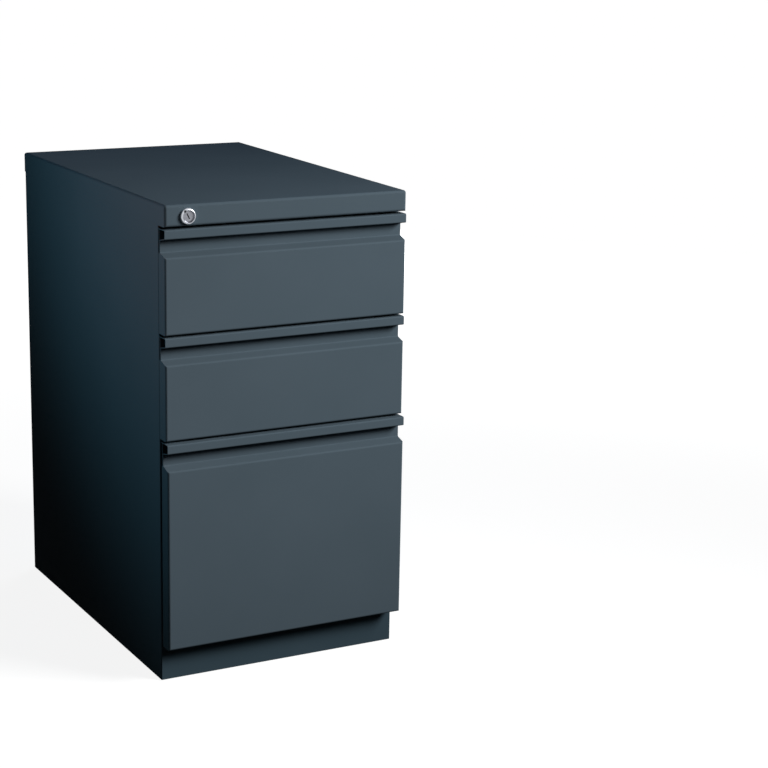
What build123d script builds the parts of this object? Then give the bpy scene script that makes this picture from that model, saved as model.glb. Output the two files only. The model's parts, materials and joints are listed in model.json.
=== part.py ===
from build123d import *
import math
import os

os.makedirs("parts", exist_ok=True)

# Millimetres. +X is the cabinet's right as seen from the front, -Y its front, +Z up.
# The origin is under the middle of the cabinet, on the floor.

# Overall size
cabinet_width = 381.0
cabinet_depth = 581.0  # box drawer faces to the rear edge of the top
cabinet_height = 705.0

# Sheet steel
case_gauge = 1.0
front_gauge = 0.9
tray_gauge = 0.8
bracket_gauge = 1.2
visible_bend = 4.0  # outer radius of the bends that show
front_bend = 3.0  # of the bends round each front's face
pull_bend = 2.0  # of the bends along the pull
small_bend = 2.0  # outer radius of the folds inside the cabinet

# Top panel with its front rail
rail_height = 30.8
rear_lip_height = 20.0
rear_lip_stand = 1.5  # the rear lip stands this far behind the body
rail_return = 24.0  # depth of the rail's folded bottom

# Fronts, from the rail down
rail_gap = 3.8
front_gap = 3.6
box_front_height = 149.4
toe_height = 56.0  # floor to the bottom of the file drawer's front
front_pan_depth = 22.0
box_stand_off = 1.0  # front pan to the case's front edge
file_stand_off = 7.0
bumper_clearance = 0.3

# Full-width pull folded into the top of each front
lip_height = 13.0
lip_rear_height = 16.5
recess_depth = 17.0
recess_height = 34.2
ledge_fall = 5.0  # from the back of the recess to the face

# Case
flange_width = 14.5  # front and rear returns of the sides
cap_lap = 24.0  # lap of the side under the top panel's skirt
kick_height = 64.0
kick_return = 18.0
glide_height = 1.0
glide_radius = 13.0
glide_inset = 30.0
stud_radius = 3.0
stud_length = 9.0
base_flange = 12.0
upright_depth = 15.0
upright_web = 26.0
upright_foot = 9.0
front_upright_set_back = 16.0  # behind the slides' front ends
rear_upright_set_back = 60.0  # ahead of the back panel

# Slides, one pair to each drawer
slide_width = 12.7
slide_gauge = 1.2
slide_web_gap = 0.45  # between a slide member and a ball cage's web
slide_tip_gap = 1.5
ball_gap = 3.1  # room for the balls between two members' flanges
cage_gauge = 0.5
cage_margin = 5.0
box_slide_length = 457.0
box_slide_height = 35.0
box_travel = 330.0
file_slide_length = 508.0
file_slide_height = 45.0
file_travel = 480.0

# Trays
tray_length = 500.0
tray_hem = 6.0
tray_return = 15.0
box_tray_lift = 8.0  # tray bottom above the front's bottom
box_tray_drop = 33.4  # tray top below the front's top
file_tray_lift = 12.0
file_tray_drop = 41.4
hang_rail_height = 13.0
hang_rail_inset = 6.3  # from the tray's side
hang_rail_end_gap = 12.0
bumper_size = 9.0

# Gang lock
lock_from_side = 34.5
lock_below_top = 16.3
bezel_radius = 11.4
bezel_stand = 5.0
bezel_chamfer = 0.8
bezel_rim = 1.2
barrel_radius = 9.5
nut_radius = 12.0
nut_height = 4.0
plug_radius = 7.5
plug_clearance = 0.05
plug_recess = 3.0
index_radius = 1.2  # round mark in the dished bezel, beside the plug
index_angle = 135.0
index_depth = 1.2
keyway_width = 1.6
keyway_length = 9.0
keyway_depth = 9.0
keyway_tilt = 27.0
turn_angle = 90.0
cam_room = 2.0  # lock barrel behind the case's front flange
cam_gap = 0.3
cam_gauge = 2.0
cam_hub_radius = 7.0
pin_orbit = 9.0
pin_radius = 2.5
tang_size = 6.0
screw_height = 1.0
screw_radius = 4.0
bar_width = 8.0
bar_gauge = 1.5
bar_from_liner = 3.0
bar_clearance = 0.4
guide_wall = 1.2
fork_clearance = 0.8
fork_tine = 3.5
finger_reach = 5.5  # past the case's front flange
finger_height = 8.0
latch_gap = 1.5
latch_height = 12.0
latch_foot = 24.0
latch_clearance = 0.6
latch_to_slide = 1.5
box_latch_drop = 33.0  # catch below the tray's top
file_latch_drop = 55.0
finger_to_slide = 18.0  # lock bar finger to the slide under it
guide_height = 12.0
guide_above_latch = 30.0
lowest_guide_drop = 20.0  # below the lowest finger
bar_tail = 25.0

# Places worked out from the sizes
side_x = cabinet_width / 2
liner_x = side_x - case_gauge
flange_x = side_x - flange_width
slide_case_x = liner_x - upright_depth
tray_x = slide_case_x - slide_width
proud = max(file_stand_off - box_stand_off, bezel_stand)
back_y = (cabinet_depth + proud) / 2
front_y = back_y - cabinet_depth
body_back_y = back_y - rear_lip_stand
case_front_y = front_y + front_pan_depth + box_stand_off
flange_rear_y = case_front_y + case_gauge
rail_bottom_z = cabinet_height - rail_height
roof_z = cabinet_height - case_gauge
floor_z = glide_height + case_gauge

lock_x = lock_from_side - side_x
lock_z = cabinet_height - lock_below_top
lock_rear_y = flange_rear_y + cam_room
cam_front_y = lock_rear_y + cam_gap
cam_rear_y = cam_front_y + cam_gauge
bar_front_y = cam_rear_y + screw_height + cam_gap
bar_rear_y = bar_front_y + bar_gauge
latch_y = bar_rear_y + bar_clearance
slide_front_y = latch_y + bar_gauge + latch_to_slide
bar_outer_x = bar_from_liner - liner_x
bar_inner_x = bar_outer_x + bar_width
track_step = slide_gauge + ball_gap  # from one member's flange to the next one's
web_step = slide_gauge + 2 * slide_web_gap + cage_gauge
slide_tip_x = tray_x + slide_gauge + slide_tip_gap
half_turn = math.radians(turn_angle / 2)
lock_travel = 2 * pin_orbit * math.sin(half_turn)
pin_x = lock_x - pin_orbit * math.cos(half_turn)
pin_z = lock_z - pin_orbit * math.sin(half_turn)


class Drawer:
    """One drawer's heights and depths, from the top of its front down."""

    def __init__(self, name, top_z, bottom_z, stand_off, tray_lift, tray_drop,
                 latch_drop, slide_height, slide_length, travel):
        self.name = name
        self.top_z = top_z
        self.bottom_z = bottom_z
        self.face_y = case_front_y - stand_off - front_pan_depth
        self.pan_y = case_front_y - stand_off
        self.stand_off = stand_off
        self.tray_bottom = bottom_z + tray_lift
        self.tray_top = top_z - tray_drop
        self.latch_z = self.tray_top - latch_drop
        self.finger_z = self.latch_z - latch_gap
        self.slide_z = self.finger_z - finger_height - finger_to_slide - slide_height / 2
        self.slide_height = slide_height
        self.slide_length = slide_length
        self.travel = travel


def box_drawer(name, top_z):
    return Drawer(name, top_z, top_z - box_front_height, box_stand_off, box_tray_lift,
                  box_tray_drop, box_latch_drop, box_slide_height, box_slide_length,
                  box_travel)


top_drawer = box_drawer("top_drawer", rail_bottom_z - rail_gap)
middle_drawer = box_drawer("middle_drawer", top_drawer.bottom_z - front_gap)
file_drawer = Drawer("file_drawer", middle_drawer.bottom_z - front_gap, toe_height,
                     file_stand_off, file_tray_lift, file_tray_drop, file_latch_drop,
                     file_slide_height, file_slide_length, file_travel)
box_drawers = [top_drawer, middle_drawer]
drawers = box_drawers + [file_drawer]


# Helpers

def block(x0, x1, y0, y1, z0, z1):
    middle = Pos((x0 + x1) / 2, (y0 + y1) / 2, (z0 + z1) / 2)
    return middle * Box(abs(x1 - x0), abs(y1 - y0), abs(z1 - z0))


def rectangle(x0, x1, z0, z1):
    return Pos((x0 + x1) / 2, (z0 + z1) / 2) * Rectangle(x1 - x0, z1 - z0)


def along_x(face, x0, x1):
    return extrude(Plane.YZ.offset(x0) * face, amount=x1 - x0)


def along_y(face, y0, y1):
    return extrude(Plane.XZ.offset(-y1) * face, amount=y1 - y0)


def along_z(face, z0, z1):
    return extrude(Plane.XY.offset(z0) * face, amount=z1 - z0)


def folded(points, gauge, bend, side=Side.LEFT):
    """Section of a folded sheet: its outer face runs through the points. Bend: one radius or a list."""
    line = FilletPolyline(*points, radius=bend)
    return make_face(offset(line, amount=gauge, side=side, closed=True))


def channel(x_web, x_tip, half_height, gauge):
    """C section in X and Z about the origin's level, open towards x_tip."""
    inward = math.copysign(gauge, x_tip - x_web)
    outer = rectangle(min(x_web, x_tip), max(x_web, x_tip), -half_height, half_height)
    ends = sorted((x_web + inward, x_tip + inward))
    return outer - rectangle(*ends, gauge - half_height, half_height - gauge)


def mirrored(solid):
    return mirror(solid, about=Plane.YZ)


def save(name, shape):
    shape.label = name
    export_step(shape, f"parts/{name}.step")


def save_pair(name, right):
    save(f"{name}_right", right)
    save(f"{name}_left", mirrored(right))


# Case

def top_block(inset, bend):
    """The top panel's outer form, or its hollow when inset."""
    x = side_x - inset
    form = block(-x, x, front_y + inset, back_y - inset, rail_bottom_z + inset,
                 cabinet_height - inset)
    rim = form.faces().sort_by(Axis.Z)[-1].edges() + form.faces().sort_by(Axis.Y)[0].edges()
    upper = [edge for edge in form.edges() if any(edge.is_same(other) for other in rim)]
    return fillet(upper, bend)


def top_panel():
    panel = top_block(0, visible_bend) - top_block(case_gauge, visible_bend - case_gauge)
    below = rail_bottom_z - case_gauge
    panel -= block(-liner_x, liner_x, front_y + rail_return, back_y - case_gauge,
                   below, rail_bottom_z + 2 * case_gauge)
    panel -= block(-liner_x, liner_x, back_y - 2 * case_gauge, back_y + case_gauge,
                   below, cabinet_height - rear_lip_height)
    hole = Pos(lock_x, front_y, lock_z) * Rot(90, 0, 0) * Cylinder(barrel_radius, 4 * case_gauge)
    return panel - hole


def side_panel():
    plan = folded([(flange_x, case_front_y), (side_x, case_front_y),
                   (side_x, body_back_y), (flange_x, body_back_y)],
                  case_gauge, small_bend)
    panel = along_z(plan, glide_height, rail_bottom_z)
    panel -= block(0, liner_x, case_front_y - case_gauge, case_front_y + small_bend,
                   0, kick_height)
    lap_y = (flange_rear_y + case_gauge, body_back_y - 3 * case_gauge)
    lap = folded([(flange_x, roof_z), (liner_x, roof_z), (liner_x, rail_bottom_z - cap_lap)],
                 case_gauge, visible_bend - case_gauge, Side.RIGHT)
    return panel + along_y(lap, *lap_y)


def back_panel():
    x = liner_x - case_gauge
    return block(-x, x, body_back_y - 2 * case_gauge, body_back_y - case_gauge,
                 glide_height, roof_z - case_gauge)


def kick_plate():
    profile = folded([(case_front_y, glide_height), (case_front_y, kick_height),
                      (case_front_y + kick_return, kick_height),
                      (case_front_y + kick_return, kick_height - base_flange)],
                     case_gauge, small_bend, Side.RIGHT)
    return along_x(profile, -liner_x, liner_x)


def glide_places():
    x = side_x - glide_inset
    return [(i * x, y) for i in (-1, 1)
            for y in (case_front_y + glide_inset, body_back_y - glide_inset)]


def base_pan():
    y0 = flange_rear_y
    y1 = body_back_y - 2 * case_gauge
    pan = block(-liner_x, liner_x, y0, y1, glide_height, glide_height + base_flange)
    pan -= block(case_gauge - liner_x, liner_x - case_gauge, y0 + case_gauge,
                 y1 - case_gauge, floor_z, cabinet_height)
    for x, y in glide_places():
        pan -= Pos(x, y, floor_z) * Cylinder(stud_radius, 4 * case_gauge)
    return pan


def floor_glides():
    """Nylon pads, each with a stud pressed through the base."""
    stud_top = glide_height + stud_length
    outline = Polyline((0, 0), (glide_radius, 0),
                       (glide_radius, glide_height), (stud_radius, glide_height),
                       (stud_radius, stud_top), (0, stud_top), close=True)
    glide = revolve(Plane.XZ * make_face(outline), axis=Axis.Z)
    return Compound(children=[Pos(x, y, 0) * glide for x, y in glide_places()])


def upright(front):
    """Hat section that carries the slides, from just above the base to the rail."""
    y1 = front + upright_foot
    y2 = y1 + upright_web
    web_x = slide_case_x + bracket_gauge
    plan = folded([(liner_x, front), (liner_x, y1), (web_x, y1), (web_x, y2),
                   (liner_x, y2), (liner_x, y2 + upright_foot)],
                  bracket_gauge, bracket_gauge / 2)
    return along_z(plan, glide_height + base_flange + case_gauge, rail_bottom_z - cap_lap)


# Slides

def slide_part(drawer, x_web, x_tip, half_height):
    section = Pos(0, drawer.slide_z) * channel(x_web, x_tip, half_height, slide_gauge)
    return along_y(section, slide_front_y, slide_front_y + drawer.slide_length)


def outer_slide(drawer):
    return slide_part(drawer, slide_case_x, slide_tip_x, drawer.slide_height / 2)


def middle_slide():
    """Intermediate member of the file drawer's full-extension slide."""
    half = file_slide_height / 2 - track_step
    return slide_part(file_drawer, slide_case_x - web_step, slide_tip_x, half)


def inner_slide(drawer):
    steps = 2 if drawer is file_drawer else 1
    half = drawer.slide_height / 2 - steps * track_step
    return slide_part(drawer, tray_x, slide_case_x - steps * web_step, half)


def ball_cages(drawer, steps, start, length):
    """Left and right strip cages that run in the ball tracks, that many members in."""
    track = drawer.slide_height / 2 - steps * track_step + ball_gap / 2
    web_x = slide_case_x - steps * web_step + slide_web_gap + cage_gauge
    section = Pos(0, drawer.slide_z) * channel(web_x, slide_tip_x, track + cage_gauge / 2,
                                               cage_gauge)
    y0 = slide_front_y + start
    cage = along_y(section, y0, y0 + length)
    return Compound(children=[cage, mirrored(cage)])


def box_cages(drawer):
    length = drawer.slide_length - drawer.travel - 2 * cage_margin
    return ball_cages(drawer, 1, drawer.travel / 2 + cage_margin, length)


def file_cages(steps):
    """One step in: between the case's and middle members. Two: middle and drawer's."""
    length = file_slide_length - file_travel / 2 - 2 * cage_margin
    return ball_cages(file_drawer, steps, file_travel / 4 + cage_margin, length)


# Drawers

def front_pan(drawer, inset, bend, depth):
    """Lower part of a front: face, sides, bottom and the ledge under the pull."""
    y0 = drawer.face_y
    z0 = drawer.bottom_z + inset
    ledge_front = drawer.top_z - recess_height - ledge_fall - inset
    ledge_back = drawer.top_z - recess_height - inset
    outline = Polyline((y0 + inset, z0), (y0 + inset, ledge_front),
                       (y0 + recess_depth, ledge_back), (y0 + depth, ledge_back),
                       (y0 + depth, z0), close=True)
    x = side_x - inset
    form = along_x(make_face(outline), -x, x)
    return fillet(form.faces().sort_by(Axis.Y)[0].edges(), bend)


def drawer_front(drawer):
    deep = front_pan_depth + front_bend
    pan = front_pan(drawer, 0, front_bend, front_pan_depth)
    pan -= front_pan(drawer, front_gauge, front_bend - front_gauge, deep)
    y0, z1 = drawer.face_y, drawer.top_z
    recess_foot = z1 - recess_height - front_gauge
    pull = folded([(y0 + front_pan_depth, z1), (y0, z1), (y0, z1 - lip_height),
                   (y0 + recess_depth, z1 - lip_rear_height),
                   (y0 + recess_depth, recess_foot)],
                  front_gauge, [pull_bend, pull_bend, small_bend])
    front = pan + along_x(pull, -side_x, side_x) - inner_front(drawer)
    seam_z = z1 - recess_height
    seam = [edge for edge in front.edges().filter_by(Axis.X)
            if abs(edge.center().Y - y0 - recess_depth) < 0.01
            and abs(edge.center().Z - seam_z) < 0.01]
    return fillet(seam, small_bend)


def inner_front(drawer):
    x = side_x - front_gauge
    return block(-x, x, drawer.pan_y - front_gauge, drawer.pan_y,
                 drawer.bottom_z + front_gauge, drawer.top_z - front_gauge)


def tray(drawer):
    """Bottom and sides of the drawer in one folded sheet with hemmed tops."""
    low, high = drawer.tray_bottom, drawer.tray_top
    section = folded([(tray_x - tray_hem, high), (tray_x, high), (tray_x, low),
                      (-tray_x, low), (-tray_x, high), (tray_hem - tray_x, high)],
                     tray_gauge, small_bend, Side.RIGHT)
    return along_y(section, drawer.pan_y, case_front_y + tray_length)


def tray_back(drawer):
    x = tray_x - tray_gauge
    rear = case_front_y + tray_length
    plan = folded([(-x, rear - tray_return), (-x, rear), (x, rear), (x, rear - tray_return)],
                  tray_gauge, small_bend, Side.RIGHT)
    back = along_z(plan, drawer.tray_bottom, drawer.tray_top)
    hollow = rectangle(-x, x, drawer.tray_bottom + tray_gauge, drawer.tray_top - tray_gauge)
    hollow = fillet(hollow.vertices(), small_bend - tray_gauge)
    return back & along_y(hollow, rear - tray_return, rear)


def lock_catch(drawer):
    """Bracket on the tray's left side that the lock bar's finger blocks."""
    tip = latch_clearance - flange_x
    plan = folded([(tip, latch_y), (-tray_x, latch_y), (-tray_x, latch_y + latch_foot)],
                  bar_gauge, small_bend)
    return along_z(plan, drawer.latch_z, drawer.latch_z + latch_height)


def bumpers(drawer):
    """Rubber pads that meet the case's front flanges."""
    x0 = side_x - (flange_width + bumper_size) / 2
    low = drawer.bottom_z + flange_width
    high = drawer.top_z - recess_height - ledge_fall - flange_width
    pads = [block(x0, x0 + bumper_size, drawer.pan_y, case_front_y - bumper_clearance,
                  z - bumper_size / 2, z + bumper_size / 2) for z in (low, high)]
    return Compound(children=pads + [mirrored(pad) for pad in pads])


def hang_rail():
    """Rail for hanging folders, standing on the hem of the file tray."""
    x = tray_x - hang_rail_inset
    z = file_drawer.tray_top
    section = folded([(tray_x - tray_gauge, z), (x, z), (x, z + hang_rail_height)],
                     bracket_gauge, small_bend, Side.RIGHT)
    return along_y(section, case_front_y + hang_rail_end_gap,
                   case_front_y + tray_length - tray_return - hang_rail_end_gap)


# Gang lock

def lock_housing():
    bore = plug_radius + plug_clearance
    tip = front_y - bezel_stand
    seat = tip + plug_recess
    rim = bezel_radius - bezel_chamfer - bezel_rim
    outline = Polyline((bore, lock_rear_y), (barrel_radius, lock_rear_y),
                       (barrel_radius, front_y), (bezel_radius, front_y),
                       (bezel_radius, tip + bezel_chamfer), (bezel_radius - bezel_chamfer, tip),
                       (rim, tip), (bore, seat), close=True)
    body = revolve(make_face(outline), axis=Axis.Y)
    mark = Rot(0, 0, index_angle) * Pos(bore + index_radius, 0) * Circle(index_radius)
    body -= along_y(mark, tip - index_depth, seat + index_depth)
    return Pos(lock_x, 0, lock_z) * body


def lock_nut():
    ring = RegularPolygon(nut_radius, 6) - Circle(barrel_radius)
    y0 = front_y + case_gauge
    return along_y(Pos(lock_x, lock_z) * ring, y0, y0 + nut_height)


def lock_plug():
    y0 = front_y - bezel_stand + plug_recess
    centre = Pos(lock_x, lock_z)
    plug = along_y(centre * Circle(plug_radius), y0, cam_front_y)
    keyway = centre * Rot(0, 0, keyway_tilt) * RectangleRounded(keyway_width, keyway_length,
                                                               keyway_width / 3)
    plug -= along_y(keyway, y0 - keyway_width, y0 + keyway_depth)
    return plug + along_y(centre * Rectangle(tang_size, tang_size), cam_front_y, cam_rear_y)


def lock_cam():
    """Lever on the plug whose pin drives the lock bar's fork."""
    hub = Pos(lock_x, lock_z) * Circle(cam_hub_radius)
    eye = Pos(pin_x, pin_z) * Circle(pin_radius + cam_gauge)
    lever = make_hull(hub.edges() + eye.edges())
    lever -= Pos(lock_x, lock_z) * Rectangle(tang_size, tang_size)
    pin = Pos(pin_x, pin_z) * Circle(pin_radius)
    return along_y(lever, cam_front_y, cam_rear_y) + along_y(pin, cam_rear_y, latch_y)


def cam_screw():
    head = Pos(lock_x, lock_z) * Circle(screw_radius)
    slot = Pos(lock_x, lock_z) * Rectangle(2 * screw_radius, screw_height)
    screw = along_y(head, cam_rear_y, cam_rear_y + screw_height)
    return screw - along_y(slot, cam_rear_y + screw_height / 2, cam_rear_y + 2 * screw_height)


def lock_bar():
    """Vertical bar with a fork at the cam and a finger for each drawer."""
    slot_half = pin_radius + fork_clearance
    arm_half = slot_half + fork_tine
    low = file_drawer.finger_z - finger_height - bar_tail
    outline = rectangle(bar_outer_x, bar_inner_x, low, pin_z + arm_half)
    outline += rectangle(bar_outer_x, lock_x - pin_radius, pin_z - arm_half, pin_z + arm_half)
    slot_end = lock_x - pin_orbit - fork_clearance
    outline -= rectangle(slot_end, lock_x, pin_z - slot_half, pin_z + slot_half)
    outline -= Pos(slot_end, pin_z) * Circle(slot_half)
    for drawer in drawers:
        outline += rectangle(bar_outer_x, finger_reach - flange_x,
                             drawer.finger_z - finger_height, drawer.finger_z)
    return along_y(outline, bar_front_y, bar_rear_y)


def guide_levels():
    lowest = file_drawer.finger_z - finger_height - lowest_guide_drop
    return [lowest] + [drawer.latch_z + guide_above_latch for drawer in drawers]


def lock_bar_guides():
    """Nylon blocks on the case's front flange that the bar slides through."""
    x0, x1 = bar_outer_x - bar_clearance, bar_inner_x + bar_clearance
    rear = bar_rear_y + bar_clearance
    guide = block(x0 - guide_wall, x1 + guide_wall, flange_rear_y, rear + guide_wall,
                  0, guide_height)
    guide -= block(x0, x1, bar_front_y - bar_clearance, rear, -guide_height,
                   2 * guide_height)
    return Compound(children=[Pos(0, 0, z) * guide for z in guide_levels()])


def save_case():
    save("top_panel", top_panel())
    save_pair("side_panel", side_panel())
    save("back_panel", back_panel())
    save("kick_plate", kick_plate())
    save("base_pan", base_pan())
    save("floor_glides", floor_glides())
    save_pair("front_upright", upright(slide_front_y + front_upright_set_back))
    save_pair("rear_upright", upright(body_back_y - rear_upright_set_back - upright_web))
    for drawer in drawers:
        save_pair(f"{drawer.name}_outer_slide", outer_slide(drawer))


def save_drawers():
    for drawer in drawers:
        save(f"{drawer.name}_front", drawer_front(drawer))
        save(f"{drawer.name}_inner_front", inner_front(drawer))
        save(f"{drawer.name}_tray", tray(drawer))
        save(f"{drawer.name}_back", tray_back(drawer))
        save(f"{drawer.name}_lock_catch", lock_catch(drawer))
        save(f"{drawer.name}_bumpers", bumpers(drawer))
        save_pair(f"{drawer.name}_inner_slide", inner_slide(drawer))
    for drawer in box_drawers:
        save(f"{drawer.name}_ball_cages", box_cages(drawer))
    save_pair("file_drawer_middle_slide", middle_slide())
    save("file_drawer_outer_cages", file_cages(1))
    save("file_drawer_inner_cages", file_cages(2))
    save_pair("hang_rail", hang_rail())


def save_lock():
    save("lock_housing", lock_housing())
    save("lock_nut", lock_nut())
    save("lock_plug", lock_plug())
    save("lock_cam", lock_cam())
    save("cam_screw", cam_screw())
    save("lock_bar", lock_bar())
    save("lock_bar_guides", lock_bar_guides())


save_case()
save_drawers()
save_lock()
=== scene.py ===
import json
import math

import bmesh
import bpy
import numpy as np
from mathutils import Matrix, Vector


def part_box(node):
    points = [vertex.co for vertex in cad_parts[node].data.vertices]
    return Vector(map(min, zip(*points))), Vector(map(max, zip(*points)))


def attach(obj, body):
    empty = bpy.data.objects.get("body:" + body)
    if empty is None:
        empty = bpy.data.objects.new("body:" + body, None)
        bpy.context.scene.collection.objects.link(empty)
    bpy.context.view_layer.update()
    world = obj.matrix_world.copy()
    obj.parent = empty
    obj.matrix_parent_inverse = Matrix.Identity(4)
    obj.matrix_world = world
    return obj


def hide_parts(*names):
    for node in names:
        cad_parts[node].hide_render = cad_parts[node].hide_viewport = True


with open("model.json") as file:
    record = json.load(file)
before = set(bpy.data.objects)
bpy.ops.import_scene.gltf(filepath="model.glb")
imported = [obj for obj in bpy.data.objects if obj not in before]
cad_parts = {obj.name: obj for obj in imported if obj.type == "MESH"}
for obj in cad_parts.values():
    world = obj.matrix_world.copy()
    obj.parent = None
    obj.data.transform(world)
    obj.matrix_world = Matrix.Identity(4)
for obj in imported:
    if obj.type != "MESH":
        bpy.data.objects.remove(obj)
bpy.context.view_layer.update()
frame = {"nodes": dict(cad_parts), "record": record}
nodes = frame["nodes"]
scene = bpy.context.scene
print("cabinet frame loaded:", len(nodes), "parts")


# A material with one Principled shader and short ways to wire patterns into it. Every pattern reads
# Object coordinates, which are metres in the cabinet's own frame.
class Finish:

    bend = {"samples": 4, "folded": 0.8, "flat": 0.99}

    def __init__(self, name, **sockets):
        self.material = bpy.data.materials.new(name)
        self.material.use_nodes = True
        self.tree = self.material.node_tree
        self.shader = self.tree.nodes["Principled BSDF"]
        for socket, value in sockets.items():
            self.shader.inputs[socket.replace("_", " ")].default_value = value
        self.place = self.tree.nodes.new("ShaderNodeTexCoord").outputs["Object"]

    def link(self, start, end):
        self.tree.links.new(start, end)

    # Wires a value into one of the shader's own sockets.
    def drive(self, socket, value):
        self.link(value, self.shader.inputs[socket])

    # A node with its numbers set; an underscore in a keyword stands for a space.
    def node(self, kind, **numbers):
        node = self.tree.nodes.new("ShaderNode" + kind)
        for socket, number in numbers.items():
            node.inputs[socket.replace("_", " ")].default_value = number
        return node

    # Result of a vector operation on wires or fixed triples.
    def vector(self, operation, output, *terms):
        node = self.node("VectorMath")
        node.operation = operation
        for socket, term in zip(node.inputs, terms):
            if isinstance(term, tuple):
                socket.default_value = term
            else:
                self.link(term, socket)
        return node.outputs[output]

    # Object coordinates scaled differently along each axis, for rolled grain.
    def stretched(self, scale):
        node = self.node("Mapping", Scale=scale)
        self.link(self.place, node.inputs["Vector"])
        return node.outputs["Vector"]

    def noise(self, scale, detail=3.0, roughness=0.5, vector=None):
        node = self.node("TexNoise", Scale=scale, Detail=detail, Roughness=roughness)
        self.link(vector or self.place, node.inputs["Vector"])
        return node.outputs["Fac"]

    # Flat cells with random tones, as zinc spangle has.
    def cells(self, scale):
        node = self.node("TexVoronoi", Scale=scale)
        self.link(self.place, node.inputs["Vector"])
        split = self.node("SeparateColor")
        self.link(node.outputs["Color"], split.inputs["Color"])
        return split.outputs["Red"]

    # Maps value from start..end onto low..high, held at both ends.
    def between(self, value, low, high, start=0.35, end=0.65):
        node = self.node("MapRange", From_Min=start, From_Max=end, To_Min=low, To_Max=high)
        self.link(value, node.inputs["Value"])
        return node.outputs["Result"]

    # First colour at value 0 and second at 1; each is a wire or a fixed triple.
    def mixed(self, value, first, second):
        node = self.node("Mix")
        node.data_type = "RGBA"
        self.link(value, node.inputs["Factor"])
        for socket, colour in (("A", first), ("B", second)):
            if isinstance(colour, tuple):
                node.inputs[socket].default_value = (*colour, 1)
            else:
                self.link(colour, node.inputs[socket])
        return node.outputs["Result"]

    # Distance from a line along Y through point, in metres.
    def fromAxis(self, point):
        moved = self.node("Mapping", Location=[-c for c in point])
        self.link(self.place, moved.inputs["Vector"])
        flat = self.vector("MULTIPLY", "Vector", moved.outputs["Vector"], (1, 0, 1))
        return self.vector("LENGTH", "Value", flat)

    # Tone with a round spot of dark enamel round a line along Y through the spot's axis; the spot is partly
    # enamel and partly painted shade of the index mark's hollow.
    def spotted(self, tone, spot):
        off = self.fromAxis(spot["axis"])
        ends = spot["radius"] * spot["solidShare"], spot["radius"]
        self.drive("Metallic", self.between(off, 0.0, 1.0, *ends))
        return self.mixed(self.between(off, 1.0, 0.0, *ends), tone, spot["enamelAndShade"])

    # The face's normal, rounded over width at its folds and cut edges.
    def roundedNormal(self, width):
        node = self.node("Bevel", Radius=width)
        node.samples = self.bend["samples"]
        return node.outputs["Normal"]

    # Paler colour at folds and cut edges, partly worn thin film and partly a painted highlight: the colour
    # turns by amount towards the edge colour where the rounded normal leaves the face's own.
    def edgeWearAndHighlight(self, colour, edgeWearAndHighlightColour, edgeWidth, amount):
        faceNormal = self.node("NewGeometry").outputs["Normal"]
        agreement = self.vector("DOT_PRODUCT", "Value", self.roundedNormal(edgeWidth), faceNormal)
        share = self.between(agreement, amount, 0.0, self.bend["folded"], self.bend["flat"])
        return self.mixed(share, colour, edgeWearAndHighlightColour)

    # Each layer is (height, distance in metres). soften rounds the folds and cut edges in the shading.
    def bumps(self, *layers, soften=0.0):
        normal = self.roundedNormal(soften) if soften else None
        for height, distance in layers:
            node = self.node("Bump", Strength=1.0, Distance=distance)
            self.link(height, node.inputs["Height"])
            if normal:
                self.link(normal, node.inputs["Normal"])
            normal = node.outputs["Normal"]
        self.drive("Normal", normal)


# Satin polyester powder: fine orange peel, faint flow, and a paler colour on the bends that is partly a
# thinner film and partly a painted highlight. Each channel of the two coat colours is multiplied by its own
# tone; on the kick plate these tones darken the coat as painted shade.
def charcoalPowderCoat(name, shadeTones=(1, 1, 1)):
    paint = {"dark": (0.0645, 0.090, 0.109), "light": (0.077, 0.104, 0.126), "driftScale": 7,
             "edge": (0.095, 0.13, 0.153), "edgeWidth": 0.0012, "edgeShare": 0.35, "soften": 0.0006,
             "roughness": (0.5, 0.58), "peelScale": 900, "flowScale": 140, "depth": 0.000005}
    finish = Finish(name, Specular_IOR_Level=0.0, Coat_Weight=0.01, Coat_Roughness=0.4)
    dark, light = [tuple(t * c for t, c in zip(shadeTones, paint[k])) for k in ("dark", "light")]
    coat = finish.mixed(finish.noise(paint["driftScale"], detail=4), dark, light)
    # The paler edge colour on the bends is partly a worn thin film and partly a painted highlight.
    finish.drive("Base Color", finish.edgeWearAndHighlight(coat, paint["edge"], paint["edgeWidth"], paint["edgeShare"]))
    flow = finish.noise(paint["flowScale"], detail=2)
    finish.drive("Roughness", finish.between(flow, *paint["roughness"]))
    finish.bumps((finish.noise(paint["peelScale"], detail=2), paint["depth"]), (flow, paint["depth"]),
                 soften=paint["soften"])
    return finish.material


# Plated steel strip: rolled grain along one axis over a fine spangle, whose cells run from tone times
# the lower shade to tone times the upper one.
def zincPlate(name, tone, spangle, grainAxis):
    zinc = {"across": 260.0, "along": 6.0, "hue": (0.98, 1.0, 1.02), "shades": (0.84, 1.08),
            "roughness": (0.36, 0.52), "grainDepth": 0.00002, "soften": 0.0003}
    stretch = [zinc["across"]] * 3
    stretch[grainAxis] = zinc["along"]
    finish = Finish(name, Metallic=1.0)
    grain = finish.noise(1.0, detail=4, roughness=0.6, vector=finish.stretched(stretch))
    dark, light = [tuple(tone * shade * c for c in zinc["hue"]) for shade in zinc["shades"]]
    finish.drive("Base Color", finish.mixed(finish.cells(spangle), dark, light))
    finish.drive("Roughness", finish.between(grain, *zinc["roughness"]))
    finish.bumps((grain, zinc["grainDepth"]), soften=zinc["soften"])
    return finish.material


# Polished balls under a faint haze.
def ballSteel():
    steel = {"dark": (0.55, 0.56, 0.58), "light": (0.66, 0.67, 0.69), "roughness": (0.12, 0.2),
             "hazeScale": 1500}
    finish = Finish("ball_steel", Metallic=1.0)
    haze = finish.noise(steel["hazeScale"], detail=2)
    finish.drive("Base Color", finish.mixed(haze, steel["dark"], steel["light"]))
    finish.drive("Roughness", finish.between(haze, *steel["roughness"]))
    return finish.material


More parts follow.
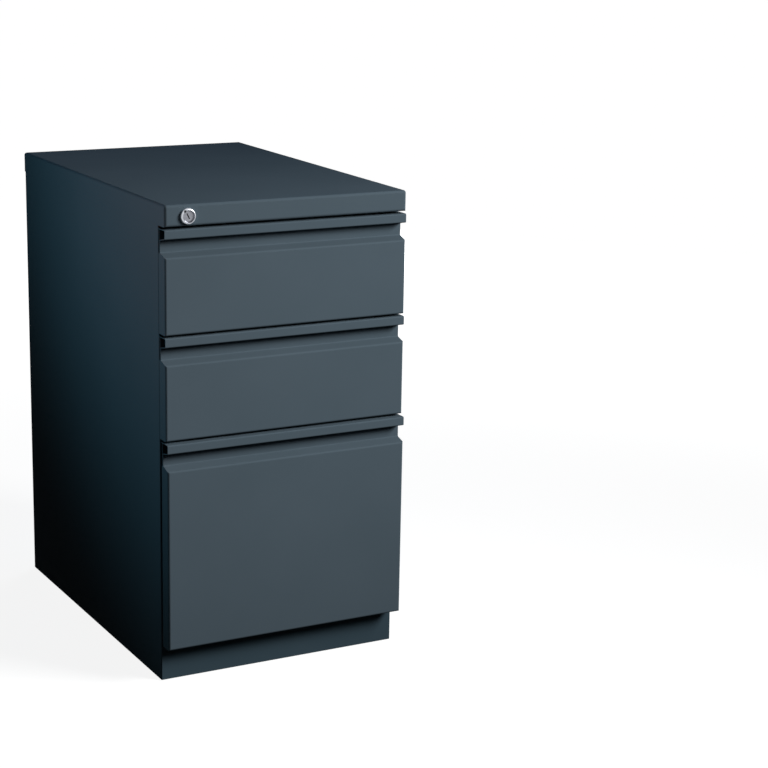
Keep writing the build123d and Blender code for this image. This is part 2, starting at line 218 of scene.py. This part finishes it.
# Bezel: polished rim and side, duller dished ring; the share of each is a ramp over the distance
# from the lock's axis.
def bezelChrome(axis, mark):
    chrome = {"ring": (0.31, 0.32, 0.35), "rim": (0.58, 0.60, 0.64), "ringEnds": (0.0086, 0.0102),
              "roughness": (0.26, 0.38), "hazeScale": 350, "grainScale": 900, "grainDepth": 0.000003}
    finish = Finish("lock_chrome_plate", Metallic=1.0)
    polished = finish.between(finish.fromAxis(axis), 0.0, 1.0, *chrome["ringEnds"])
    tone = finish.mixed(polished, chrome["ring"], chrome["rim"])
    finish.drive("Base Color", finish.spotted(tone, mark))
    finish.drive("Roughness", finish.between(finish.noise(chrome["hazeScale"]), *chrome["roughness"]))
    finish.bumps((finish.noise(chrome["grainScale"], detail=2), chrome["grainDepth"]))
    return finish.material


# Matt cast zinc with a slightly grainy skin, with or without the dark index spot, which is partly enamel and
# partly painted shade.
def castZinc(name, dark, light, mark=None):
    zinc = {"driftScale": 420, "grainScale": 1400, "grainDepth": 0.00003, "roughness": (0.28, 0.42)}
    finish = Finish(name, Metallic=1.0)
    tone = finish.mixed(finish.noise(zinc["driftScale"]), dark, light)
    finish.drive("Base Color", finish.spotted(tone, mark) if mark else tone)
    grain = finish.noise(zinc["grainScale"])
    finish.drive("Roughness", finish.between(grain, *zinc["roughness"]))
    finish.bumps((grain, zinc["grainDepth"]))
    return finish.material


# Moulded rubber or nylon: spark-eroded grain of the given depth and a slow drift of tone.
def mouldedPlastic(name, dark, light, roughness, depth):
    moulding = {"driftScale": 60, "grainScale": 1800}
    finish = Finish(name, Specular_IOR_Level=0.4)
    finish.drive("Base Color", finish.mixed(finish.noise(moulding["driftScale"]), dark, light))
    grain = finish.noise(moulding["grainScale"], detail=2)
    finish.drive("Roughness", finish.between(grain, *roughness))
    finish.bumps((grain, depth))
    return finish.material


# Index mark of the lock, a round spot half on the bezel and half on the plug's face, darkened partly as
# enamel and partly as painted shade of its hollow. Its axis is the lock's, moved by fromAxis * (cos angle,
# sin angle) in the plane of the front.
def lockMark(axis):
    # The spot's dark colour is partly enamel and partly painted shade inside the mark's hollow.
    mark = {"fromAxis": 0.0086, "angle": math.radians(127), "radius": 0.0023, "solidShare": 0.9,
            "enamelAndShade": (0.006, 0.007, 0.009)}
    mark["axis"] = [axis[0] + mark["fromAxis"] * math.cos(mark["angle"]), axis[1],
                    axis[2] + mark["fromAxis"] * math.sin(mark["angle"])]
    return mark


lockAxis = [(low + high) / 2 for low, high in zip(*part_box("lock_housing"))]
indexMark = lockMark(lockAxis)
finishes = {
    "charcoal_paint": charcoalPowderCoat("charcoal_powder_coat"),
    "slide_zinc": zincPlate("slide_zinc_plate", 0.34, 420, grainAxis=1),
    "cage_steel": zincPlate("cage_spring_steel", 0.26, 900, grainAxis=1),
    "zinc_bracket": zincPlate("bracket_zinc_plate", 0.36, 300, grainAxis=2),
    "bumper_rubber": mouldedPlastic("bumper_rubber_grey", (0.035, 0.035, 0.036), (0.05, 0.05, 0.05),
                                    roughness=(0.7, 0.85), depth=0.00003),
    "glide_nylon": mouldedPlastic("glide_nylon_black", (0.012, 0.012, 0.013), (0.02, 0.02, 0.021),
                                  roughness=(0.4, 0.55), depth=0.00002),
    "guide_nylon": mouldedPlastic("guide_nylon_white", (0.62, 0.61, 0.57), (0.7, 0.69, 0.66),
                                  roughness=(0.4, 0.5), depth=0.00002),
    "lock_chrome": bezelChrome(lockAxis, indexMark),
    "lock_zinc": castZinc("lock_zinc_casting", (0.15, 0.154, 0.168), (0.235, 0.24, 0.262)),
}
ownFinishes = {
    "lock_plug": castZinc("lock_plug_face", (0.17, 0.175, 0.195), (0.26, 0.265, 0.29), indexMark),
    # The kick plate's darker, cooler coat is painted shade: it stands in for the shadow under the overhang of
    # the drawer fronts.
    "kick_plate": charcoalPowderCoat("kick_painted_shade_coat", (0.59, 0.69, 0.72)),
}
slotOf = {part["node"]: part["material_slot"] for part in frame["record"]["subparts"]}
for name, part in nodes.items():
    part.data.materials.clear()
    part.data.materials.append(ownFinishes.get(name) or finishes[slotOf[name]])
print("finishes assigned:", len(finishes) + len(ownFinishes))


# Faces of a grid of points, with its last row or column joined to the first where asked.
def gridFaces(rows, columns, wrapRows=False, wrapColumns=False):
    row, column = (a.ravel() for a in np.meshgrid(np.arange(rows - (not wrapRows)),
                                                  np.arange(columns - (not wrapColumns)), indexing="ij"))
    nextRow, nextColumn = (row + 1) % rows, (column + 1) % columns
    return np.stack((row * columns + column, nextRow * columns + column,
                     nextRow * columns + nextColumn, row * columns + nextColumn), axis=1)


# One piece from a (copies, rows, columns, 3) array of closed grids, welded, with its faces outwards.
def pieceOf(name, points, faces, slot, body, material=None, crease=32.0, weld=1e-6):
    copies, size = points.shape[0], points.shape[1] * points.shape[2]
    every = (faces[None] + np.arange(copies)[:, None, None] * size).reshape(-1, 4)
    mesh = bpy.data.meshes.new(name)
    mesh.from_pydata(points.reshape(-1, 3).tolist(), [], every.tolist())
    shape = bmesh.new()
    shape.from_mesh(mesh)
    bmesh.ops.remove_doubles(shape, verts=shape.verts, dist=weld)
    bmesh.ops.recalc_face_normals(shape, faces=shape.faces)
    shape.to_mesh(mesh)
    shape.free()
    mesh.shade_smooth()
    mesh.set_sharp_from_angle(angle=math.radians(crease))
    mesh.materials.append(material or finishes[slot])
    piece = bpy.data.objects.new(name, mesh)
    scene.collection.objects.link(piece)
    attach(piece, body)
    return piece


# A line round the axis for each (radius, height) of the profile: centre + height * axis
# + radius * (cos a * side + sin a * other), with a from 0 to a full turn.
def turned(profile, centres, axis, steps):
    axis = np.array(axis, float)
    side = np.cross(axis, (0, 0, 1.0) if abs(axis[2]) < 0.9 else (1.0, 0, 0))
    side /= np.linalg.norm(side)
    other = np.cross(axis, side)
    a = np.linspace(0, 2 * np.pi, steps, endpoint=False)
    ring = np.cos(a)[:, None] * side + np.sin(a)[:, None] * other
    radius, height = np.array(profile, float).T
    form = height[:, None, None] * axis + radius[:, None, None] * ring
    return np.array(centres, float).reshape(-1, 1, 1, 3) + form


# Lock bezel: a turned ring whose shoulder is a quarter ellipse, centre + (width * cos a, depth * sin a),
# round a dished face. The round index mark sinks it by depth * (1 - a ramp) of the distance from its axis.
def lockBezel():
    bezel = {"barrel": 0.0095, "bore": 0.00755, "rim": 0.0090, "lipStep": 0.0001, "shoulder": 0.0032,
             "shoulderSteps": 16, "dish": 0.003, "dishSteps": 34, "stand": 0.005, "steps": 240,
             "markDepth": 0.0012, "markFloor": 0.76, "markSlope": 0.2, "markedShare": 0.95}
    low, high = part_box("lock_housing")
    radius = (high[0] - low[0]) / 2
    back = low[1] - high[1]
    lip = bezel["rim"] - bezel["lipStep"]
    a = np.linspace(0, np.pi / 2, bezel["shoulderSteps"])
    shoulder = list(zip(bezel["rim"] + (radius - bezel["rim"]) * np.cos(a),
                        bezel["shoulder"] * (np.sin(a) - 1)))
    share = np.linspace(0, 1, bezel["dishSteps"])
    dish = list(zip(lip - share * (lip - bezel["bore"]), -share * bezel["dish"]))
    profile = ([(bezel["bore"], back), (bezel["barrel"], back), (bezel["barrel"], -bezel["stand"]),
                (radius, -bezel["stand"])] + shoulder + dish)
    ring = turned(profile, [(lockAxis[0], low[1], lockAxis[2])], (0, -1, 0), bezel["steps"])
    off = np.hypot(ring[..., 0] - indexMark["axis"][0], ring[..., 2] - indexMark["axis"][2])
    sunk = 1 - np.clip((off / indexMark["radius"] - bezel["markFloor"]) / bezel["markSlope"], 0, 1)
    ring[..., 1] += bezel["markDepth"] * sunk * (ring[..., 1] < low[1] + bezel["dish"] * bezel["markedShare"])
    faces = gridFaces(len(profile), bezel["steps"], True, True)
    piece = pieceOf("lock_bezel", ring, faces, "lock_chrome", "case")
    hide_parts("lock_housing")


lockBezel()
print("lock bezel made")


# Balls in the two tracks of each cage, on both sides: one small sphere for every pitch of its length,
# each point centre + radius * (cos v cos u, sin v, cos v sin u).
def slideBalls(cages, body, steel):
    ball = {"radius": 0.00154, "pitch": 0.0125, "endGap": 0.006, "fromWeb": 0.0042, "fromEdge": 0.00025,
            "rows": 7, "columns": 10, "crease": 80}
    low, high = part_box(cages)
    count = int((high[1] - low[1] - 2 * ball["endGap"]) / ball["pitch"]) + 1
    y = np.linspace(low[1] + ball["endGap"], high[1] - ball["endGap"], count)
    x, y, z = np.meshgrid((low[0] + ball["fromWeb"], high[0] - ball["fromWeb"]), y,
                          (low[2] + ball["fromEdge"], high[2] - ball["fromEdge"]), indexing="ij")
    centres = np.stack((x.ravel(), y.ravel(), z.ravel()), axis=1)
    v = np.radians(np.linspace(-90, 90, ball["rows"]))
    profile = np.stack((ball["radius"] * np.cos(v), ball["radius"] * np.sin(v)), axis=1)
    profile[[0, -1], 0] = 0
    points = turned(profile, centres, (0, 1, 0), ball["columns"])
    faces = gridFaces(ball["rows"], ball["columns"], False, True)
    name = cages.replace("_ball", "").replace("_cages", "_balls")
    pieceOf(name, points, faces, "cage_steel", body, steel, crease=ball["crease"])
    return len(centres)


# Each set of cages and the body that its balls ride on.
def everyBall():
    bodies = {"top_drawer_ball_cages": "top_drawer_cages", "middle_drawer_ball_cages": "middle_drawer_cages",
              "file_drawer_outer_cages": "file_outer_cages", "file_drawer_inner_cages": "file_inner_cages"}
    steel = ballSteel()
    return sum(slideBalls(cages, body, steel) for cages, body in bodies.items())


print("slide balls made:", everyBall())


# Pan head with a cross recess: the head is turned, its height falling as sqrt(1 - share^power) of the
# radius, then sinks by depth * taper(radius) wherever the point is nearer than half the slot's width to
# either arm of the cross. Its back is closed.
def crossScrews(name, places, axis, body):
    screw = {"radius": 0.0038, "height": 0.0021, "power": 4, "domeShare": 0.85, "rimShare": 0.15,
             "recessed": 0.78, "recessedSteps": 20, "edge": (0.84, 0.90, 0.95, 0.985, 1.0),
             "back": (1.0, 0.0), "slot": 0.0011, "slotSlope": 0.2, "reach": 0.0025, "reachSlope": 0.35,
             "depth": 0.0013, "steps": 64, "crease": 28}
    across = np.linspace(0, screw["recessed"], screw["recessedSteps"])
    r = np.concatenate((across, screw["edge"], screw["back"])) * screw["radius"]
    share = r / screw["radius"]
    dome = screw["height"] * np.sqrt(np.clip(1 - share ** screw["power"], 0, 1))
    h = dome * screw["domeShare"] + screw["height"] * screw["rimShare"]
    h[-2:] = 0
    a = np.linspace(0, 2 * np.pi, screw["steps"], endpoint=False)
    arm = np.minimum(np.abs(r[:, None] * np.cos(a)), np.abs(r[:, None] * np.sin(a)))
    inside = np.clip((screw["slot"] / 2 - arm) / (screw["slot"] * screw["slotSlope"]), 0, 1)
    taper = np.clip((screw["reach"] - r[:, None]) / (screw["reach"] * screw["reachSlope"]), 0, 1)
    points = turned(np.stack((r, h), axis=1), places, axis, screw["steps"])
    sunk = screw["depth"] * inside * taper * (h > 0)[:, None]
    points = points - sunk[None, :, :, None] * np.array(axis, float)
    pieceOf(name, points, gridFaces(len(r), screw["steps"], False, True), "slide_zinc", body,
            crease=screw["crease"])


# Blind rivet: a low turned dome, height * (rim + dome * sqrt(1 - share^2)) over the share of its radius,
# with the mandrel's dimple at its middle and a closed back.
def blindRivets(name, places, axis, slot, body):
    rivet = {"radius": 0.0031, "height": 0.0011, "rimShare": 0.25, "domeShare": 0.75, "dimpleDepth": 0.55,
             "dimple": (0, 0.22), "dome": (0.3, 0.36, 0.5, 0.66, 0.8, 0.9, 0.97, 1.0), "back": (1.0, 0),
             "steps": 28, "crease": 40}
    share = np.array(rivet["dimple"] + rivet["dome"] + rivet["back"])
    dome = np.sqrt(np.clip(1 - share ** 2, 0, 1))
    h = rivet["height"] * (rivet["rimShare"] + rivet["domeShare"] * dome)
    h[:len(rivet["dimple"])] -= rivet["height"] * rivet["dimpleDepth"]
    h[-2:] = 0
    points = turned(np.stack((share * rivet["radius"], h), axis=1), places, axis, rivet["steps"])
    pieceOf(name, points, gridFaces(len(share), rivet["steps"], False, True), slot, body,
            crease=rivet["crease"])


# Each drawer's front is screwed on through its inner front, and its slides are riveted to the tray.
def drawerFixings():
    fixing = {"acrossShare": 0.62, "heightShares": (0.22, 0.78), "rivetPitch": 0.11, "rivetEnd": 0.03,
              "web": 0.0012}
    for drawer in ("top_drawer", "middle_drawer", "file_drawer"):
        low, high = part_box(drawer + "_inner_front")
        trayLow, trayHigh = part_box(drawer + "_tray")
        x = fixing["acrossShare"] * trayHigh[0]
        heights = [trayLow[2] + share * (trayHigh[2] - trayLow[2]) for share in fixing["heightShares"]]
        crossScrews(drawer + "_front_screws", [(side * x, high[1], z) for side in (-1, 1) for z in heights],
                    (0, 1, 0), drawer)
        for side, word in ((-1, "left"), (1, "right")):
            low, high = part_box(drawer + "_inner_slide_" + word)
            count = int((high[1] - low[1] - 2 * fixing["rivetEnd"]) / fixing["rivetPitch"]) + 1
            web = (low[0] if side > 0 else high[0]) + side * fixing["web"]
            y = np.linspace(low[1] + fixing["rivetEnd"], high[1] - fixing["rivetEnd"], count)
            blindRivets(drawer + "_slide_rivets_" + word, [(web, v, (low[2] + high[2]) / 2) for v in y],
                        (side, 0, 0), "slide_zinc", drawer)


# The back is riveted through the rear returns of the sides, under the same paint.
def backRivets():
    row = {"count": 7, "fromEnds": 0.045, "fromEdge": 0.0075}
    low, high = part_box("side_panel_right")
    z = np.linspace(low[2] + row["fromEnds"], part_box("top_panel")[0][2] - row["fromEnds"], row["count"])
    x = high[0] - row["fromEdge"]
    blindRivets("back_rivets", [(side * x, high[1], v) for side in (-1, 1) for v in z], (0, 1, 0),
                "charcoal_paint", "case")


drawerFixings()
backRivets()
print("screws and rivets made")


# High on the rays that a camera, mirror or glass sends and low on the rays that light the cabinet:
# low + (high - low) * the greatest of the three ray flags.
def seenDirectly(tree, low, high):
    path = tree.nodes.new("ShaderNodeLightPath")
    share = path.outputs["Is Camera Ray"]
    for ray in ("Is Glossy Ray", "Is Transmission Ray"):
        either = tree.nodes.new("ShaderNodeMath")
        either.operation = "MAXIMUM"
        tree.links.new(share, either.inputs[0])
        tree.links.new(path.outputs[ray], either.inputs[1])
        share = either.outputs[0]
    strength = tree.nodes.new("ShaderNodeMapRange")
    strength.inputs["To Min"].default_value = low
    strength.inputs["To Max"].default_value = high
    tree.links.new(share, strength.inputs["Value"])
    return strength.outputs["Result"]


# Pale floor; the lift towards white grows from the cabinet outwards, so the soft shadow stays near it.
def studioFloor():
    floor = {"size": 40.0, "height": -0.0003, "bounced": 0.03, "seen": 0.22, "lift": (0.89, 1.0),
             "clear": (0.7, 2.6)}
    mesh = bpy.data.meshes.new("studio_floor")
    half = floor["size"] / 2
    corners = [(x * half, y * half, floor["height"]) for x, y in ((-1, -1), (1, -1), (1, 1), (-1, 1))]
    mesh.from_pydata(corners, [], [(0, 1, 2, 3)])
    plane = bpy.data.objects.new("studio_floor", mesh)
    scene.collection.objects.link(plane)
    finish = Finish("studio_floor_white", Roughness=0.9, Specular_IOR_Level=0.0, Emission_Color=(1, 1, 1, 1))
    finish.drive("Base Color", seenDirectly(finish.tree, floor["bounced"], floor["seen"]))
    distance = finish.vector("LENGTH", "Value", finish.place)
    lift = finish.node("Math")
    lift.operation = "MULTIPLY"
    finish.link(finish.between(distance, *floor["lift"], *floor["clear"]), lift.inputs[0])
    finish.link(seenDirectly(finish.tree, 0.0, 1.0), lift.inputs[1])
    finish.drive("Emission Strength", lift.outputs[0])
    finish.material.cycles.emission_sampling = "NONE"
    mesh.materials.append(finish.material)


# Rectangular lamp at place, turned so that its own -Z points at aim.
def softLamp(name, place, aim, size, power, spread=180, tint=(1, 1, 1)):
    lamp = bpy.data.lights.new(name, "AREA")
    lamp.shape = "RECTANGLE"
    lamp.size, lamp.size_y = size
    lamp.energy = power
    lamp.color = tint
    lamp.spread = math.radians(spread)
    light = bpy.data.objects.new(name, lamp)
    scene.collection.objects.link(light)
    light.location = place
    light.rotation_euler = (Vector(aim) - Vector(place)).to_track_quat("-Z", "Y").to_euler()
    light.visible_camera = False
    light.visible_glossy = tint == (1, 1, 1)  # no coloured glints on the chrome


# The cabinet's left side is lit by two lamps in one place, a wide cool one and a narrow warm one, so
# the side turns cooler as it darkens towards the back.
def studioLamps():
    side = {"place": (-1.533, 0.604, 0.53), "aim": (-0.19, -0.62, 1.048), "size": (0.4, 0.4), "power": 3.2}
    lamps = {
        "key_right": {"place": (1.3, -1.66, 1.48), "aim": (-0.65, -0.29, 0.13), "size": (0.87, 0.81),
                      "power": 16.4, "spread": 80},
        "side_left": {**side, "spread": 69, "tint": (0.35, 0.783, 0.967)},
        "side_left_warm": {**side, "spread": 45, "tint": (0.354, 0.07, 0.0)},
        "overhead": {"place": (0.1, 0.5, 2.3), "aim": (0.0, 0.2, 0.7), "size": (1.1, 0.9), "power": 1.2,
                     "spread": 110, "tint": (0.2, 0.55, 1.0)},
        "rear_right": {"place": (2.6, 2.4, 0.38), "aim": (0, 0, 0.38), "size": (1.6, 0.55), "power": 110},
    }
    for name, lamp in lamps.items():
        softLamp(name, **lamp)


# White to the camera and in reflections, a dim even fill otherwise.
def studioWorld():
    strength = {"fill": 0.013, "seen": 1.0}
    world = bpy.data.worlds.new("studio_world")
    scene.world = world
    world.use_nodes = True
    background = world.node_tree.nodes["Background"]
    background.inputs["Color"].default_value = (1, 1, 1, 1)
    share = seenDirectly(world.node_tree, strength["fill"], strength["seen"])
    world.node_tree.links.new(share, background.inputs["Strength"])


# Stands at the front left, a little above the top, turned so that the cabinet is left of centre.
def studioCamera():
    view = {"place": (-1.262, -2.855, 1.154), "heading": 28.96, "tilt": 14.10, "roll": -1.13, "lens": 95.5,
            "sensor": 36, "clip": (0.05, 100)}
    camera = bpy.data.cameras.new("studio_camera")
    camera.sensor_width = view["sensor"]
    camera.lens = view["lens"]
    camera.clip_start, camera.clip_end = view["clip"]
    holder = bpy.data.objects.new("studio_camera", camera)
    scene.collection.objects.link(holder)
    yaw, pitch, roll = (math.radians(view[k]) for k in ("heading", "tilt", "roll"))
    forward = Vector((math.sin(yaw) * math.cos(pitch), math.cos(yaw) * math.cos(pitch), -math.sin(pitch)))
    right = Vector((math.cos(yaw), -math.sin(yaw), 0))
    down = forward.cross(right)
    across = math.cos(roll) * right + math.sin(roll) * down
    below = -math.sin(roll) * right + math.cos(roll) * down
    turn = Matrix((across, -below, -forward)).transposed()
    holder.matrix_world = Matrix.Translation(view["place"]) @ turn.to_4x4()
    scene.camera = holder


studioFloor()
studioLamps()
studioWorld()
studioCamera()
scene.view_settings.view_transform = "Standard"
print("studio set")
